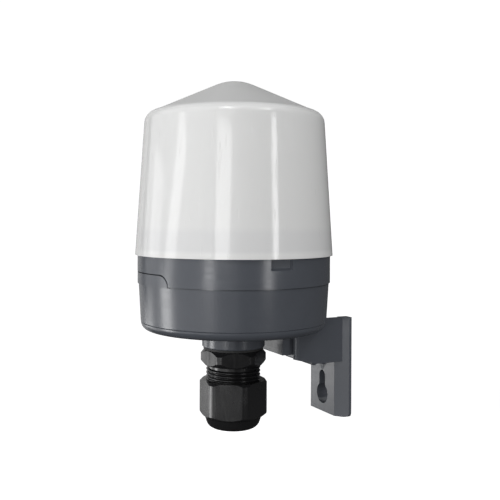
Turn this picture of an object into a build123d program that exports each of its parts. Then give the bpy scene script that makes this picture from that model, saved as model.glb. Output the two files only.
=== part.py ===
"""Twilight switch for a wall: a domed photocell on a round base with a wall arm and a cable gland.

Millimetres. The origin is the middle of the wall plate's back face. +Z is up, the wall lies
towards +Y, and the front of the switch looks towards -Y. The dome, the control ring and the base
share one upright axis in front of the wall.
"""
import os
from math import cos, radians, sin, tan

from build123d import *

os.makedirs("parts", exist_ok=True)

# Where the body stands
dome_rim_radius = 40.0
wall_gap = 8.0  # dome's rim to the wall
seam_height = 36.3  # joint between base and control ring, above the middle of the wall plate
fit_gap = 0.2  # round pieces that slide into each other
loose_gap = 0.4  # pieces that only have to miss each other
thread_gap = 0.05  # plain cylinders that stand for a screw and its thread

# Dome cover
dome_side_lean = 3.4  # how far the side leans inwards on its way up to the shoulder
dome_shoulder_rise = 53.2  # rim to the top of the straight side
dome_shoulder_width = 4.0
dome_crease_rise = 57.6  # rim to the foot of the cone
dome_cone_angle = 24.3
dome_tip_radius = 20.0
dome_wall = 2.0
snap_lug_width = 8.0
snap_lug_height = 2.2
snap_lug_reach = 0.9
snap_lug_rise = 3.2

# Control ring
ring_inset = 1.0  # ring's outside behind the dome's rim
ring_height = 11.2
ring_wall = 2.2
spigot_height = 10.2
spigot_wall = 2.2
deck_thickness = 2.2
deck_drop = 1.0  # deck's top below the dome's rim
skirt_wall = 1.5
skirt_depth = 1.8  # how far the skirt reaches below the seam
pry_notch_width = 9.3
pry_notch_height = 4.3
pry_notch_depth = 1.7
pry_notch_taper = 26.0
pry_notch_shift = 1.0  # towards the wall
seam_reveal_height = 0.4  # shadow groove round the ring's lower edge
seam_reveal_depth = 0.8
dome_seal_thickness = 1.4
dome_seal_rise = 7.6
dome_seal_edge = 0.3

# Base: bowl, collar, front tab
bowl_depth = 18.6
bowl_inset = 0.5  # bowl's rim behind the ring's outside
bowl_lean = 1.2  # how far the side leans inwards on its way down
bowl_corner = 3.0
bowl_wall = 2.4
bowl_floor = 2.5
bead_height = 3.3
bead_groove = 0.22
ledge_depth = 3.1  # seal's ledge below the seam
ledge_width = 1.3
seal_thickness = 1.2
collar_radius = 12.8
collar_length = 7.6
collar_corner = 0.6
tab_half_angle = 25.5
tab_height = 4.4
tab_corner = 4.2
tab_thickness = 2.0
tab_recess = 0.05  # tab's face behind the control ring's
tab_gap = 0.4

# Arm between the bowl and the wall plate
arm_half_width = 12.0
arm_wall = 1.8
arm_start = 22.2  # body axis to the wings' front edge
arm_knee = 32.0
arm_front_drop = 13.1  # below the bowl's bottom
arm_drop = 15.4
arm_top_rise = 3.1  # wings' top edge above the bowl's bottom
arm_roof = 2.0  # web between the wings, level with the bowl's bottom
arm_edge_radius = 1.6
duct_half_width = 8.6
duct_start = 18.1
duct_drop = 11.5
duct_wall = 2.0
arm_rib_places = (31.7, 36.5)
arm_rib_thickness = 2.2
arm_rib_overhang = 0.7

# Wall plate
plate_height = 42.0
plate_face_width = 18.7
plate_back_width = 28.7
plate_depth = 5.3
plate_rim = 1.0
plate_web = 2.5
plate_edge_radius = 1.4
plate_rim_radius = 0.9
plate_foot_corner = 2.0
plate_head_corner = 0.6
plate_rib_thickness = 2.5
plate_rib_height = -0.25  # middle of the rib that crosses the back
keyhole_radius = 4.3
keyhole_slot_width = 4.6
keyhole_height = -13.3
keyhole_travel = 7.7
keyhole_wall = 1.6

# Circuit board and its screws
board_inset = 8.0  # board's edge behind the dome's rim
board_thickness = 1.6
board_standoff = 4.0
standoff_radius = 3.2
standoff_inset = 4.5
standoff_count = 3
pilot_radius = 1.25
small_screw_radius = 1.45
small_screw_head_radius = 2.7
small_screw_head = 1.6
small_screw_edge = 0.4
small_screw_length = 6.0
small_recess_length = 3.2
small_recess_width = 0.7
small_recess_depth = 0.8

# Housing screws
housing_screw_inset = 9.9  # behind the bowl's rim
housing_screw_radius = 2.0
housing_screw_head_radius = 3.6
housing_screw_head = 2.4
housing_screw_edge = 0.6
housing_screw_length = 12.0
housing_recess_length = 4.2
housing_recess_width = 1.0
housing_recess_depth = 1.4
well_wall = 1.2
well_floor = 2.0

# Light sensor and its post; places on the board are from the body's axis, towards the wall
sensor_post_width = 8.0
sensor_post_depth = 4.5
sensor_post_height = 22.0
sensor_post_corner = 1.0
sensor_post_edge = 0.6
sensor_post_foot = 1.5
sensor_place = -24.0
sensor_rise = 17.5
sensor_radius = 2.6
sensor_thickness = 2.1
sensor_edge = 0.3
sensor_recess = 1.5

# Relay
relay_length = 29.0
relay_width = 12.8
relay_height = 15.7
relay_place = 2.0
relay_corner = 0.6
relay_edge = 0.5
relay_foot_step = 0.3
relay_foot_height = 0.6

# Dropper capacitor
film_length = 18.0
film_width = 8.0
film_height = 14.5
film_place = (-10.5, -11.5)
film_edge = 0.5
film_foot_length = 2.0
film_foot_height = 0.5

# Smoothing capacitor
can_radius = 5.0
can_height = 13.0
can_place = (12.0, -12.0)
can_edge = 0.6
can_crimp_rise = 2.2
can_crimp_width = 0.7
can_crimp_depth = 0.4
can_score_length = 7.0
can_score_width = 0.4
can_score_depth = 0.3

# Varistor and fuse
disc_radius = 5.0
disc_thickness = 3.8
disc_edge = 1.2
disc_lift = 1.2
disc_place = (-22.5, 5.0)
disc_leg_radius = 0.35
disc_leg_pitch = 5.0
fuse_radius = 4.2
fuse_height = 7.7
fuse_edge = 0.5
fuse_place = (-15.5, -21.5)

# Rectifier diodes and bleed resistor
diode_radius = 1.35
diode_length = 5.2
diode_pitch = 3.6
diode_count = 4
diode_place = (22.5, 4.0)
lead_radius = 0.4
lead_reach = 1.8
resistor_radius = 1.8
resistor_waist = 1.5
resistor_length = 9.5
resistor_cap = 1.9
resistor_place = (0.0, 11.6)

# Control chip and relay driver
chip_length = 8.7
chip_width = 3.9
chip_height = 1.5
chip_edge = 0.25
chip_legs = 7
chip_pitch = 1.27
chip_leg_width = 0.4
chip_leg_thickness = 0.3
chip_leg_reach = 1.0
chip_place = (0.0, 17.5)
driver_radius = 2.3
driver_flat = 1.3
driver_height = 4.8
driver_lift = 2.0
driver_legs = 3
driver_leg_width = 0.45
driver_place = (20.0, -19.0)

# Terminals
pole_count = 4
pole_pitch = 8.5
block_front = 12.6  # body axis to the terminal block's front face
block_depth = 14.0
block_height = 13.0
block_groove = 0.8
block_seat = 4.0  # boss height under the block
block_ear = 7.0
block_ear_thickness = 3.0
blade_inset = 3.4  # blades in front of the block's back
blade_width = 4.0
blade_thickness = 0.8
blade_edge = 0.2
blade_length = 23.0
blade_tail = 1.0
clamp_width = 5.6
clamp_height = 7.0
clamp_length = 5.6
clamp_wall = 1.1
clamp_lift = 1.6
clamp_inset = 1.4
terminal_screw_radius = 1.5
terminal_screw_head_radius = 2.3
terminal_screw_head = 1.9
terminal_slot_width = 0.8
terminal_slot_depth = 0.95
socket_width = 5.2
socket_thickness = 2.4
socket_depth = 9.0

# Cable gland
thread_radius = 10.0
gland_bore = 7.2
gland_flats = 24.0
gland_corner_radius = 13.3
gland_hex_height = 6.4
gland_hex_turn = 9.2
gland_hex_face_radius = 11.7
gland_hex_chamfer = 1.8
washer_radius = 12.2
washer_thickness = 0.8
cap_thread_radius = 10.25
cap_thread_length = 12.6
finger_count = 12
finger_length = 6.0
finger_wall = 1.9
finger_slot = 1.0
finger_taper = 6.0
grommet_bore = 5.6
grommet_length = 11.0
nut_gap = 6.1  # thread left bare between the hexagon and the nut
nut_flats = 25.0
nut_corner_radius = 13.75
nut_hex_height = 14.9
nut_turn = -4.4
nut_top_chamfer = 0.9
nut_top_face_radius = 12.9
nut_foot_chamfer = 1.6
nut_lead_in = 0.8
nut_nose = 4.5
nut_nose_radius = 11.6
nut_nose_waist = 10.9
nut_nose_round_rise = 2.4
nut_nose_round_reach = 2.9
nut_mouth_radius = 6.8
nut_lip = 1.8

# Radii and places worked out from the sizes above
wall_reach = dome_rim_radius + wall_gap
dome_shoulder_radius = dome_rim_radius - dome_side_lean
dome_crease_radius = dome_shoulder_radius - dome_shoulder_width
ring_radius = dome_rim_radius - ring_inset
bowl_rim_radius = ring_radius - bowl_inset
bowl_foot_radius = bowl_rim_radius - bowl_lean
board_radius = dome_rim_radius - board_inset
standoff_ring = board_radius - standoff_inset
housing_screw_place = bowl_rim_radius - housing_screw_inset
blade_place = block_front + block_depth - blade_inset

# Heights worked out from the sizes above
bowl_bottom = seam_height - bowl_depth
bowl_floor_top = bowl_bottom + bowl_floor
dome_rim = seam_height + ring_height
deck_top = dome_rim - deck_drop
deck_bottom = deck_top - deck_thickness
board_bottom = deck_top + board_standoff
board_top = board_bottom + board_thickness
ledge_height = seam_height - ledge_depth
collar_bottom = bowl_bottom - collar_length
gland_hex_top = collar_bottom - washer_thickness
gland_hex_bottom = gland_hex_top - gland_hex_height
nut_top = gland_hex_bottom - nut_gap
nut_hex_bottom = nut_top - nut_hex_height
block_bottom = bowl_floor_top + block_seat
block_top = block_bottom + block_height

# Planes and axis of the body
body_axis = Axis((0, -wall_reach, 0), (0, 0, 1))
front_view = Plane(origin=(0, -wall_reach, 0), x_dir=(1, 0, 0), z_dir=(0, -1, 0))
section_turn = radians(40)  # turned sections start clear of the notches, lugs and tab
body_section = Plane(
    origin=(0, -wall_reach, 0),
    x_dir=(cos(section_turn), sin(section_turn), 0),
    z_dir=(sin(section_turn), -cos(section_turn), 0),
)
arm_side = Plane(origin=(0, -wall_reach, 0), x_dir=(0, 1, 0), z_dir=(1, 0, 0))


def level(height):
    """Horizontal plane through the body's axis, at a height above the wall plate's middle."""
    return Plane(origin=(0, -wall_reach, height))


def taper(foot_radius, head_radius, rise, height):
    """Radius of a straight tapered wall at a height above its foot."""
    return foot_radius + (head_radius - foot_radius) * height / rise


def dome_inside(height):
    """Inner radius of the dome's side at a height above its rim."""
    return taper(dome_rim_radius, dome_shoulder_radius, dome_shoulder_rise, height) - dome_wall


# Dome cover: one thin moulding, open below
tip_edge = dome_tip_radius * sin(radians(dome_cone_angle))
tip_edge_height = dome_rim + dome_crease_rise + tan(radians(dome_cone_angle)) * (
    dome_crease_radius - tip_edge
)
tip_top = tip_edge_height + dome_tip_radius * (1 - cos(radians(dome_cone_angle)))
with BuildPart() as dome_cover:
    with BuildSketch(body_section):
        with BuildLine():
            side = Line(
                (dome_rim_radius, dome_rim), (dome_shoulder_radius, dome_rim + dome_shoulder_rise)
            )
            shoulder = TangentArc(
                side @ 1, (dome_crease_radius, dome_rim + dome_crease_rise), tangent=side % 1
            )
            cone = Line(shoulder @ 1, (tip_edge, tip_edge_height))
            tip = TangentArc(cone @ 1, (0, tip_top), tangent=cone % 1)
            Polyline(tip @ 1, (0, dome_rim), side @ 0)
        make_face()
    revolve(axis=body_axis)
    offset(amount=-dome_wall, openings=dome_cover.faces().sort_by(Axis.Z)[0])
    lug_face = dome_inside(snap_lug_rise) - snap_lug_reach
    lug_length = snap_lug_reach + dome_wall / 2
    with BuildSketch(level(dome_rim + snap_lug_rise)):
        for side_sign in (-1, 1):
            with Locations((side_sign * (lug_face + lug_length / 2), 0)):
                Rectangle(lug_length, snap_lug_width)
    extrude(amount=snap_lug_height)

dome_cover.part.label = "dome_cover"
export_step(dome_cover.part, "parts/dome_cover.step")

# Control ring: outer band, spigot inside the dome, deck for the board, skirt inside the bowl
spigot_foot = dome_inside(0) - fit_gap
spigot_head = dome_inside(spigot_height) - fit_gap
spigot_inside = spigot_head - spigot_wall
skirt_radius = bowl_rim_radius - bowl_wall - fit_gap
well_radius = housing_screw_head_radius + loose_gap
well_bottom = ledge_height
with BuildPart() as control_ring:
    with BuildSketch(level(seam_height)):
        Circle(ring_radius)
        Circle(ring_radius - ring_wall, mode=Mode.SUBTRACT)
    extrude(amount=ring_height)
    # pry notches under the dome's rim, one on each side
    for side_sign in (-1, 1):
        notch_face = Plane(
            origin=(side_sign * ring_radius, -wall_reach, dome_rim - pry_notch_height),
            x_dir=(0, side_sign, 0),
            z_dir=(side_sign, 0, 0),
        )
        with BuildSketch(notch_face):
            with Locations((side_sign * pry_notch_shift, 0)):
                Rectangle(
                    pry_notch_width,
                    2 * pry_notch_height,
                    align=(Align.CENTER, Align.MIN),
                )
        extrude(amount=-pry_notch_depth, taper=pry_notch_taper, mode=Mode.SUBTRACT)
    # shadow groove along the lower edge, where the ring stands on the bowl
    with BuildSketch(level(seam_height)):
        Circle(2 * ring_radius)
        Circle(ring_radius - seam_reveal_depth, mode=Mode.SUBTRACT)
    extrude(amount=seam_reveal_height, mode=Mode.SUBTRACT)
    # cut-out that the base's front tab rises into
    with BuildSketch(front_view):
        with Locations((0, seam_height)):
            half_width = ring_radius * sin(radians(tab_half_angle)) + tab_gap
            cut_out = Rectangle(2 * half_width, 2 * (tab_height + tab_gap))
        fillet(cut_out.vertices(), tab_corner)
    extrude(amount=ring_radius + ring_wall, mode=Mode.SUBTRACT)
    # spigot, deck and skirt turned in one profile
    with BuildSketch(body_section):
        with BuildLine():
            Polyline(
                (ring_radius - ring_wall, dome_rim),
                (spigot_foot, dome_rim),
                (spigot_head, dome_rim + spigot_height),
                (spigot_inside, dome_rim + spigot_height),
                (spigot_inside, deck_top),
                (0, deck_top),
                (0, deck_bottom),
                (skirt_radius - skirt_wall, deck_bottom),
                (skirt_radius - skirt_wall, seam_height - skirt_depth),
                (skirt_radius, seam_height - skirt_depth),
                (skirt_radius, deck_bottom),
                (ring_radius - ring_wall, deck_bottom),
                close=True,
            )
        make_face()
    revolve(axis=body_axis)
    # groove for the dome's seal
    seal_groove = dome_inside(dome_seal_rise) - fit_gap - dome_seal_thickness
    with BuildSketch(level(dome_rim + dome_seal_rise - dome_seal_thickness / 2 - fit_gap / 2)):
        Circle(dome_rim_radius - dome_wall)
        Circle(seal_groove, mode=Mode.SUBTRACT)
    extrude(amount=dome_seal_thickness + fit_gap, mode=Mode.SUBTRACT)
    # windows for the dome's snap lugs
    with BuildSketch(level(dome_rim + snap_lug_rise - fit_gap)):
        for side_sign in (-1, 1):
            with Locations((side_sign * spigot_head, 0)):
                Rectangle(2 * spigot_wall, snap_lug_width + 2 * loose_gap)
    extrude(amount=snap_lug_height + 2 * fit_gap, mode=Mode.SUBTRACT)
    # board standoffs on the deck
    with BuildSketch(level(deck_top)):
        with PolarLocations(standoff_ring, standoff_count, start_angle=90):
            Circle(standoff_radius)
    extrude(amount=board_standoff)
    # wells for the housing screws
    with BuildSketch(level(well_bottom)):
        with GridLocations(2 * housing_screw_place, 1, 2, 1):
            Circle(well_radius + well_wall)
    extrude(amount=deck_top - well_bottom)
    with BuildSketch(level(well_bottom + well_floor)):
        with GridLocations(2 * housing_screw_place, 1, 2, 1):
            Circle(well_radius)
    extrude(amount=ring_height, mode=Mode.SUBTRACT)
    with BuildSketch(level(well_bottom)):
        with GridLocations(2 * housing_screw_place, 1, 2, 1):
            Circle(housing_screw_radius + fit_gap)
    extrude(amount=well_floor, mode=Mode.SUBTRACT)
    # pilot holes in the standoffs and slots for the contact blades
    with BuildSketch(level(deck_top + board_standoff)):
        with PolarLocations(standoff_ring, standoff_count, start_angle=90):
            Circle(pilot_radius)
    extrude(amount=-small_screw_length, mode=Mode.SUBTRACT)
    with BuildSketch(level(deck_bottom)):
        with Locations((0, blade_place)):
            with GridLocations(pole_pitch, 1, pole_count, 1):
                SlotOverall(blade_width + 4 * loose_gap, blade_thickness + 4 * loose_gap)
    extrude(amount=deck_thickness, mode=Mode.SUBTRACT)

control_ring.part.label = "control_ring"
export_step(control_ring.part, "parts/control_ring.step")

# Dome seal: square rubber ring with broken edges in the spigot's groove
with BuildPart() as dome_seal:
    with BuildSketch(body_section):
        with Locations((seal_groove + dome_seal_thickness / 2, dome_rim + dome_seal_rise)):
            seal_section = Rectangle(dome_seal_thickness, dome_seal_thickness)
        chamfer(seal_section.vertices(), dome_seal_edge)
    revolve(axis=body_axis)

dome_seal.part.label = "dome_seal"
export_step(dome_seal.part, "parts/dome_seal.step")

# Base seal: flat rubber ring on the bowl's ledge, pressed by the control ring's skirt
with BuildPart() as base_seal:
    with BuildSketch(level(ledge_height)):
        Circle(skirt_radius)
        Circle(bowl_rim_radius - bowl_wall - ledge_width, mode=Mode.SUBTRACT)
    extrude(amount=seal_thickness)

base_seal.part.label = "base_seal"
export_step(base_seal.part, "parts/base_seal.step")

# Base: bowl, collar, tab, arm and wall plate in one moulding
bowl_inside = bowl_rim_radius - bowl_wall
ledge_inside = bowl_inside - ledge_width
floor_inside = bowl_foot_radius - bowl_wall - ledge_width
groove_height = bowl_bottom + bead_height
groove_radius = taper(bowl_foot_radius, bowl_rim_radius, bowl_depth, bead_height)
arm_bottom = bowl_bottom - arm_drop
arm_front = bowl_bottom - arm_front_drop
arm_top = bowl_bottom + arm_top_rise
plate_face = wall_reach - plate_depth
web_back = plate_face + plate_web
with BuildPart() as wall_base:
    # outside of the bowl, with its bead and the fine groove above it
    with BuildSketch(body_section):
        with BuildLine():
            wall_line = Polyline(
                (bowl_rim_radius, seam_height),
                (groove_radius + bead_groove / 2, groove_height + bead_groove),
                (groove_radius - bead_groove, groove_height),
                (groove_radius, groove_height - bead_groove),
            )
            corner = TangentArc(
                wall_line @ 1,
                (bowl_foot_radius - bowl_corner, bowl_bottom),
                tangent=(0, -1),
            )
            Polyline(corner @ 1, (0, bowl_bottom), (0, seam_height), wall_line @ 0)
        make_face()
    revolve(axis=body_axis)
    # collar for the gland
    with BuildSketch(level(collar_bottom)):
        Circle(collar_radius)
    extrude(amount=collar_length)
    fillet(wall_base.edges().filter_by(GeomType.CIRCLE).sort_by(Axis.Z)[0], collar_corner)
    # arm seen from the side, then hollowed from below and in front to leave its two wings
    with BuildSketch(arm_side):
        with BuildLine():
            Polyline(
                (arm_start, arm_front),
                (arm_knee, arm_bottom),
                (web_back, arm_bottom),
                (web_back, arm_top),
                (arm_start, arm_top),
                close=True,
            )
        make_face()
    extrude(amount=arm_half_width, both=True)
    with BuildSketch(level(arm_bottom)):
        with Locations((0, arm_start)):
            Rectangle(
                2 * (arm_half_width - arm_wall),
                plate_face - arm_start,
                align=(Align.CENTER, Align.MIN),
            )
    extrude(amount=arm_drop - arm_roof, mode=Mode.SUBTRACT)
    wing_front = Plane(origin=(0, arm_start - wall_reach, 0), z_dir=(0, -1, 0))
    wing_edges = wall_base.edges().filter_by(Axis.Z).filter_by(
        lambda edge: abs(wing_front.to_local_coords(edge.center()).Z) < thread_gap
        and abs(edge.center().X) > arm_half_width - thread_gap
    )
    fillet(wing_edges, arm_edge_radius)
    # duct in the middle of the arm, from behind the collar to the wall plate
    with BuildSketch(level(bowl_bottom - duct_drop)):
        with Locations((0, duct_start)):
            Rectangle(
                2 * duct_half_width,
                plate_face - duct_start,
                align=(Align.CENTER, Align.MIN),
            )
    extrude(amount=duct_drop)
    # two ribs across the arm, rounded where they show under the wings
    with BuildSketch(arm_side):
        for rib_place in arm_rib_places:
            rib_foot = arm_bottom - arm_rib_overhang
            with Locations((rib_place, (rib_foot + bowl_bottom) / 2)):
                rib = Rectangle(arm_rib_thickness, bowl_bottom - rib_foot)
            fillet(rib.vertices().group_by(Axis.Z)[0], arm_rib_thickness / 3)
    extrude(amount=arm_half_width - arm_wall / 2, both=True)
    # wall plate: flat face, sloping flanks, narrow rim at the wall
    with BuildSketch(Plane.XY.offset(-plate_height / 2)):
        with BuildLine():
            Polyline(
                (plate_face_width / 2, -plate_depth),
                (plate_back_width / 2, -plate_rim),
                (plate_back_width / 2, 0),
                (-plate_back_width / 2, 0),
                (-plate_back_width / 2, -plate_rim),
                (-plate_face_width / 2, -plate_depth),
                close=True,
            )
        plate_section = make_face()
        fillet(plate_section.vertices().group_by(Axis.Y)[1], plate_rim_radius)
        fillet(plate_section.vertices().group_by(Axis.Y)[0], plate_edge_radius)
    extrude(amount=plate_height)
    with BuildSketch(Plane.XZ):
        Rectangle(2 * plate_back_width, 2 * plate_height)
        with BuildSketch(mode=Mode.SUBTRACT):
            outline = Rectangle(plate_back_width, plate_height)
            fillet(outline.vertices().group_by(Axis.Y)[0], plate_foot_corner)
            fillet(outline.vertices().group_by(Axis.Y)[-1], plate_head_corner)
    extrude(amount=plate_depth, mode=Mode.SUBTRACT)
    # hollow back of the plate, either side of a rib, with the upper half open into the duct
    rib_low = plate_rib_height - plate_rib_thickness / 2
    rib_high = plate_rib_height + plate_rib_thickness / 2
    pocket_edge = plate_height / 2 - plate_web
    for low, high in ((-pocket_edge, rib_low), (rib_high, pocket_edge)):
        with BuildSketch(Plane.XY.offset(low)):
            with BuildLine():
                Polyline(
                    (plate_back_width / 2 - plate_web, 0),
                    (plate_face_width / 2 - plate_web / 2, plate_web - plate_depth),
                    (plate_web / 2 - plate_face_width / 2, plate_web - plate_depth),
                    (plate_web - plate_back_width / 2, 0),
                    close=True,
                )
            make_face()
        extrude(amount=high - low, mode=Mode.SUBTRACT)
    with BuildSketch(Plane.XZ):
        with Locations((0, bowl_bottom - duct_drop / 2)):
            Rectangle(2 * (duct_half_width - duct_wall), duct_drop - 2 * duct_wall)
    extrude(
        amount=wall_reach - duct_start - duct_wall,
        mode=Mode.SUBTRACT,
    )
    # top of the arm and plate, sunk between the wings down to the level of the bowl's bottom
    with BuildSketch(level(bowl_bottom)):
        Rectangle(
            2 * (arm_half_width - arm_wall),
            wall_reach,
            align=(Align.CENTER, Align.MIN),
        )
        Circle(bowl_rim_radius, mode=Mode.SUBTRACT)
    extrude(amount=plate_height, mode=Mode.SUBTRACT)
    # keyhole through the plate, with a wall round it behind the web
    for growth, mode in ((keyhole_wall, Mode.ADD), (0, Mode.SUBTRACT)):
        with BuildSketch(Plane.XZ):
            with Locations((0, keyhole_height)):
                Circle(keyhole_radius + growth)
            with Locations((0, keyhole_height + keyhole_travel / 2)):
                SlotCenterToCenter(keyhole_travel, keyhole_slot_width + 2 * growth, rotation=90)
        extrude(amount=plate_depth - plate_web * (growth > 0), mode=mode)
    # inside of the bowl, with the ledge for the seal, and the gland's hole
    with BuildSketch(body_section):
        with BuildLine():
            Polyline(
                (bowl_inside, seam_height),
                (bowl_inside, ledge_height),
                (ledge_inside, ledge_height),
                (floor_inside, bowl_floor_top),
                (0, bowl_floor_top),
                (0, seam_height),
                close=True,
            )
        make_face()
    revolve(axis=body_axis, mode=Mode.SUBTRACT)
    with BuildSketch(level(collar_bottom)):
        Circle(thread_radius)
    extrude(amount=collar_length + bowl_floor, mode=Mode.SUBTRACT)
    # bosses for the housing screws, each webbed to the bowl's wall
    with BuildSketch(level(bowl_floor_top)):
        with GridLocations(2 * housing_screw_place, 1, 2, 1):
            Circle(well_radius)
        for side_sign in (-1, 1):
            with Locations((side_sign * (housing_screw_place + ledge_inside) / 2, 0)):
                Rectangle(ledge_inside - housing_screw_place + ledge_width, bowl_wall)
    extrude(amount=ledge_height - bowl_floor_top)
    with BuildSketch(level(ledge_height)):
        with GridLocations(2 * housing_screw_place, 1, 2, 1):
            Circle(housing_screw_radius - fit_gap)
    extrude(amount=-housing_screw_length, mode=Mode.SUBTRACT)
    # bosses under the terminal block's ears
    ear_place = pole_count * pole_pitch / 2 + block_ear / 2
    block_middle = block_front + block_depth / 2
    with BuildSketch(level(bowl_floor_top)):
        with Locations((0, block_middle)):
            with GridLocations(2 * ear_place, 1, 2, 1):
                Circle(standoff_radius)
    extrude(amount=block_seat)
    with BuildSketch(level(block_bottom)):
        with Locations((0, block_middle)):
            with GridLocations(2 * ear_place, 1, 2, 1):
                Circle(pilot_radius)
    extrude(amount=-block_seat, mode=Mode.SUBTRACT)
    # front tab, flush with the control ring and rooted in the bowl's rim
    with BuildSketch(front_view):
        with Locations((0, seam_height)):
            half_width = ring_radius * sin(radians(tab_half_angle))
            tab = Rectangle(2 * half_width, 2 * tab_height)
        fillet(tab.vertices(), tab_corner)
        with Locations((0, seam_height - tab_height / 2)):
            Rectangle(3 * half_width, tab_height, mode=Mode.SUBTRACT)
    extrude(amount=ring_radius)
    # the sketch is extruded through a whole sector, so all but the tab's wall is turned away
    with BuildSketch(level(seam_height)):
        Circle(2 * ring_radius)
        Circle(ring_radius - tab_recess, mode=Mode.SUBTRACT)
    extrude(amount=tab_height, mode=Mode.SUBTRACT)
    with BuildSketch(level(seam_height)):
        Circle(ring_radius - tab_recess - tab_thickness)
    extrude(amount=tab_height, mode=Mode.SUBTRACT)

wall_base.part.label = "wall_base"
export_step(wall_base.part, "parts/wall_base.step")

# Housing screws: join the control ring to the base
with BuildPart() as housing_screws:
    with BuildSketch(level(well_bottom + well_floor)):
        with GridLocations(2 * housing_screw_place, 1, 2, 1):
            Circle(housing_screw_head_radius)
    extrude(amount=housing_screw_head)
    chamfer(housing_screws.edges().group_by(Axis.Z)[-1], housing_screw_edge)
    with BuildSketch(level(well_bottom + well_floor)):
        with GridLocations(2 * housing_screw_place, 1, 2, 1):
            Circle(housing_screw_radius - fit_gap)
    extrude(amount=-(housing_screw_length - loose_gap))
    with BuildSketch(level(well_bottom + well_floor + housing_screw_head)):
        with GridLocations(2 * housing_screw_place, 1, 2, 1):
            Rectangle(housing_recess_width, housing_recess_length)
            Rectangle(housing_recess_length, housing_recess_width)
    extrude(amount=-housing_recess_depth, mode=Mode.SUBTRACT)

housing_screws.part.label = "housing_screws"
export_step(housing_screws.part, "parts/housing_screws.step")

# Circuit board: round, cut away over the housing screws
with BuildPart() as circuit_board:
    with BuildSketch(level(board_bottom)):
        Circle(board_radius)
        with GridLocations(2 * board_radius, 1, 2, 1):
            Circle(board_radius - housing_screw_place + well_radius, mode=Mode.SUBTRACT)
        with PolarLocations(standoff_ring, standoff_count, start_angle=90):
            Circle(small_screw_radius + fit_gap, mode=Mode.SUBTRACT)
        with Locations((0, blade_place)):
            with GridLocations(pole_pitch, 1, pole_count, 1):
                Rectangle(
                    blade_width + fit_gap, blade_thickness + fit_gap, mode=Mode.SUBTRACT
                )
    extrude(amount=board_thickness)

circuit_board.part.label = "circuit_board"
export_step(circuit_board.part, "parts/circuit_board.step")

# Board screws: small pan heads into the standoffs
with BuildPart() as board_screws:
    with BuildSketch(level(board_top)):
        with PolarLocations(standoff_ring, standoff_count, start_angle=90):
            Circle(small_screw_head_radius)
    extrude(amount=small_screw_head)
    chamfer(board_screws.edges().group_by(Axis.Z)[-1], small_screw_edge)
    with BuildSketch(level(board_top)):
        with PolarLocations(standoff_ring, standoff_count, start_angle=90):
            Circle(pilot_radius - thread_gap)
    extrude(amount=-small_screw_length)
    with BuildSketch(level(board_top + small_screw_head)):
        with PolarLocations(standoff_ring, standoff_count, start_angle=90):
            Rectangle(small_recess_width, small_recess_length)
            Rectangle(small_recess_length, small_recess_width)
    extrude(amount=-small_recess_depth, mode=Mode.SUBTRACT)

board_screws.part.label = "board_screws"
export_step(board_screws.part, "parts/board_screws.step")

# Light sensor: a small resistive cell set into the front of a plastic post
sensor_height = board_top + sensor_rise
post_front = Plane(
    origin=(0, sensor_place - wall_reach, sensor_height), x_dir=(1, 0, 0), z_dir=(0, -1, 0)
)
with BuildPart() as sensor_post:
    with BuildSketch(level(board_top)):
        with Locations((0, sensor_place + sensor_post_depth / 2)):
            RectangleRounded(sensor_post_width, sensor_post_depth, sensor_post_corner)
    extrude(amount=sensor_post_height)
    chamfer(sensor_post.faces().sort_by(Axis.Z)[-1].edges(), sensor_post_edge)
    with BuildSketch(level(board_top)):
        with Locations((0, sensor_place + sensor_post_depth / 2)):
            RectangleRounded(2 * sensor_post_width, 2 * sensor_post_depth, sensor_post_corner)
    extrude(amount=sensor_post_foot)
    with BuildSketch(post_front):
        Circle(sensor_radius + fit_gap / 2)
    extrude(amount=-sensor_recess, mode=Mode.SUBTRACT)

sensor_post.part.label = "sensor_post"
export_step(sensor_post.part, "parts/sensor_post.step")

with BuildPart() as light_sensor:
    with BuildSketch(post_front.offset(-sensor_recess)):
        Circle(sensor_radius)
    extrude(amount=sensor_thickness)
    chamfer(light_sensor.faces().sort_by(Axis.Y)[0].edges(), sensor_edge)

light_sensor.part.label = "light_sensor"
export_step(light_sensor.part, "parts/light_sensor.step")

# Relay: sealed box with a raised foot line
with BuildPart() as relay:
    with BuildSketch(level(board_top)):
        with Locations((0, relay_place)):
            RectangleRounded(relay_length, relay_width, relay_corner)
    extrude(amount=relay_height)
    chamfer(relay.faces().sort_by(Axis.Z)[-1].edges(), relay_edge)
    with BuildSketch(level(board_top)):
        with Locations((0, relay_place)):
            Rectangle(2 * relay_length, 2 * relay_width)
            Rectangle(
                relay_length - 2 * relay_foot_step,
                relay_width - 2 * relay_foot_step,
                mode=Mode.SUBTRACT,
            )
    extrude(amount=relay_foot_height, mode=Mode.SUBTRACT)

relay.part.label = "relay"
export_step(relay.part, "parts/relay.step")

# Dropper capacitor: moulded box that drops the mains voltage
with BuildPart() as dropper_capacitor:
    with BuildSketch(level(board_top)):
        with Locations(film_place):
            Rectangle(film_length, film_width)
    extrude(amount=film_height)
    chamfer(dropper_capacitor.faces().sort_by(Axis.Z)[-1].edges(), film_edge)
    with BuildSketch(level(board_top)):
        with Locations(film_place):
            Rectangle(film_length - 2 * film_foot_length, film_width)
    extrude(amount=film_foot_height, mode=Mode.SUBTRACT)

dropper_capacitor.part.label = "dropper_capacitor"
export_step(dropper_capacitor.part, "parts/dropper_capacitor.step")

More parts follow.
